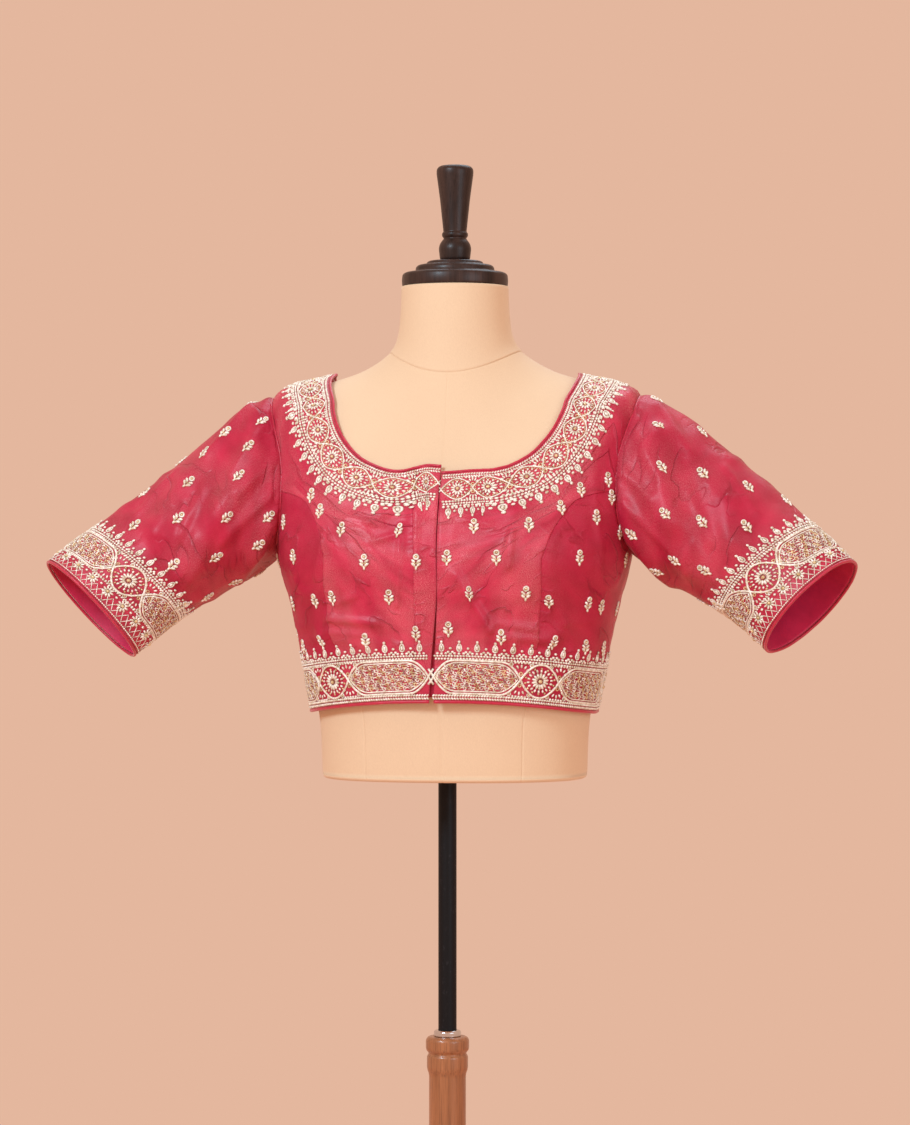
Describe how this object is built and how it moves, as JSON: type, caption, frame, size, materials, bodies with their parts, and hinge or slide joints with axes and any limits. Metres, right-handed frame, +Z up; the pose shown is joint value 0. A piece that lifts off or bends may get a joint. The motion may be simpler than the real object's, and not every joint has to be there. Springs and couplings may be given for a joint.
{
  "type": "choli blouse on a limbless dress form with stand",
  "caption": "Fitted choli blouse with elbow sleeves, princess seams, front opening and embroidered borders, worn on a limbless dress form on a turned wooden stand.",
  "frame": {"origin": "centre of the base's underside, on the pole's axis", "axes": "+Z up along the pole, -Y the way the blouse faces, +X the wearer's left"},
  "size_m": [0.8049, 0.37, 1.5275],
  "materials": {
    "silk": "satin",
    "silk_dark": "satin",
    "zardozi": "satin",
    "jersey": "matte",
    "dark_wood": "gloss",
    "honey_wood": "gloss",
    "black_metal": "satin",
    "chrome": "polished"
  },
  "bodies": {
    "stand": {"base": "honey_wood", "column": "honey_wood", "ferrule": "chrome"},
    "form": {"form_torso": "jersey", "neck_cap": "dark_wood", "finial": "dark_wood", "pole": "black_metal", "front_left": "silk", "front_right": "silk", "front_placket": "silk", "front_underlap": "silk_dark", "side_front_left": "silk", "side_front_right": "silk", "back": "silk", "sleeve_left": "silk", "sleeve_right": "silk", "neck_border": "zardozi", "hem_border": "zardozi", "cuff_border_left": "zardozi", "cuff_border_right": "zardozi", "neck_piping": "silk_dark", "hem_piping": "silk_dark", "cuff_piping_left": "silk_dark", "cuff_piping_right": "silk_dark"}
  },
  "joints": [
    {"name": "height", "type": "slide", "parent": "stand", "child": "form", "axis": [0, 0, 1], "range_m": [-0.15, 0.15]}
  ]
}
